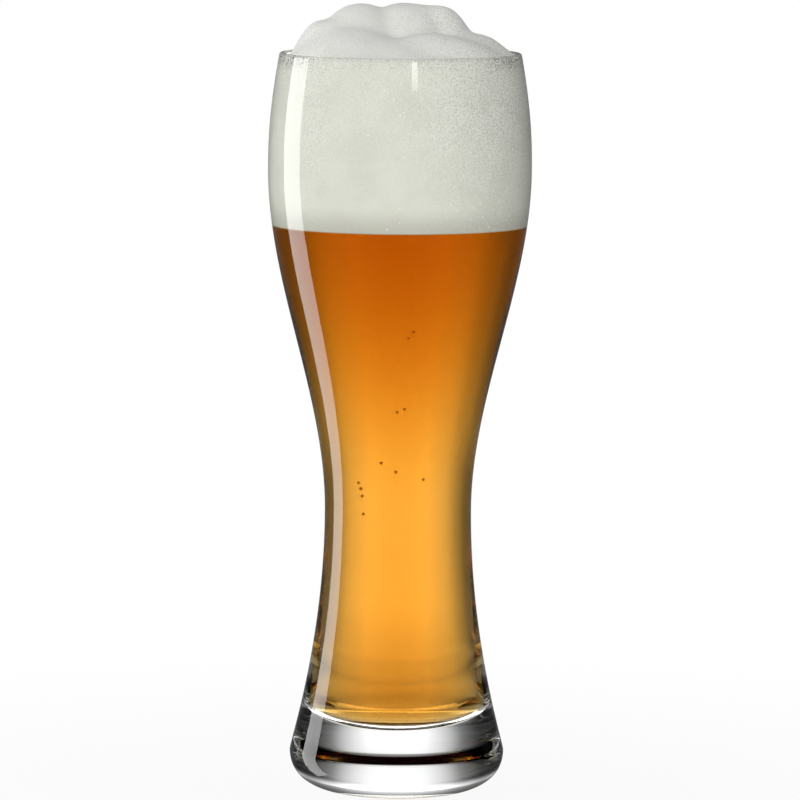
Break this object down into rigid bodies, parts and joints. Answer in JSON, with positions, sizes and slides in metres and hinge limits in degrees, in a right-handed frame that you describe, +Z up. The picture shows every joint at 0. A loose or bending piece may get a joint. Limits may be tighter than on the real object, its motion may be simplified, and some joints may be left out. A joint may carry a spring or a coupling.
{
  "type": "wheat beer glass",
  "caption": "Tall waisted wheat beer glass with a thick clear foot, filled with amber beer under a cloudy foam head.",
  "frame": {"origin": "centre of the foot, in the plane of the table", "axes": "+Z up along the glass's axis, +X to the right, +Y away from the viewer; the glass and beer are round about +Z, and the foam heap gives the directions"},
  "size_m": [0.0852, 0.0852, 0.2559],
  "materials": {
    "clear_glass": "polished",
    "beer": "gloss",
    "foam": "matte"
  },
  "bodies": {
    "root": {"glass": "clear_glass", "beer": "beer", "foam_head": "foam"}
  },
  "joints": []
}
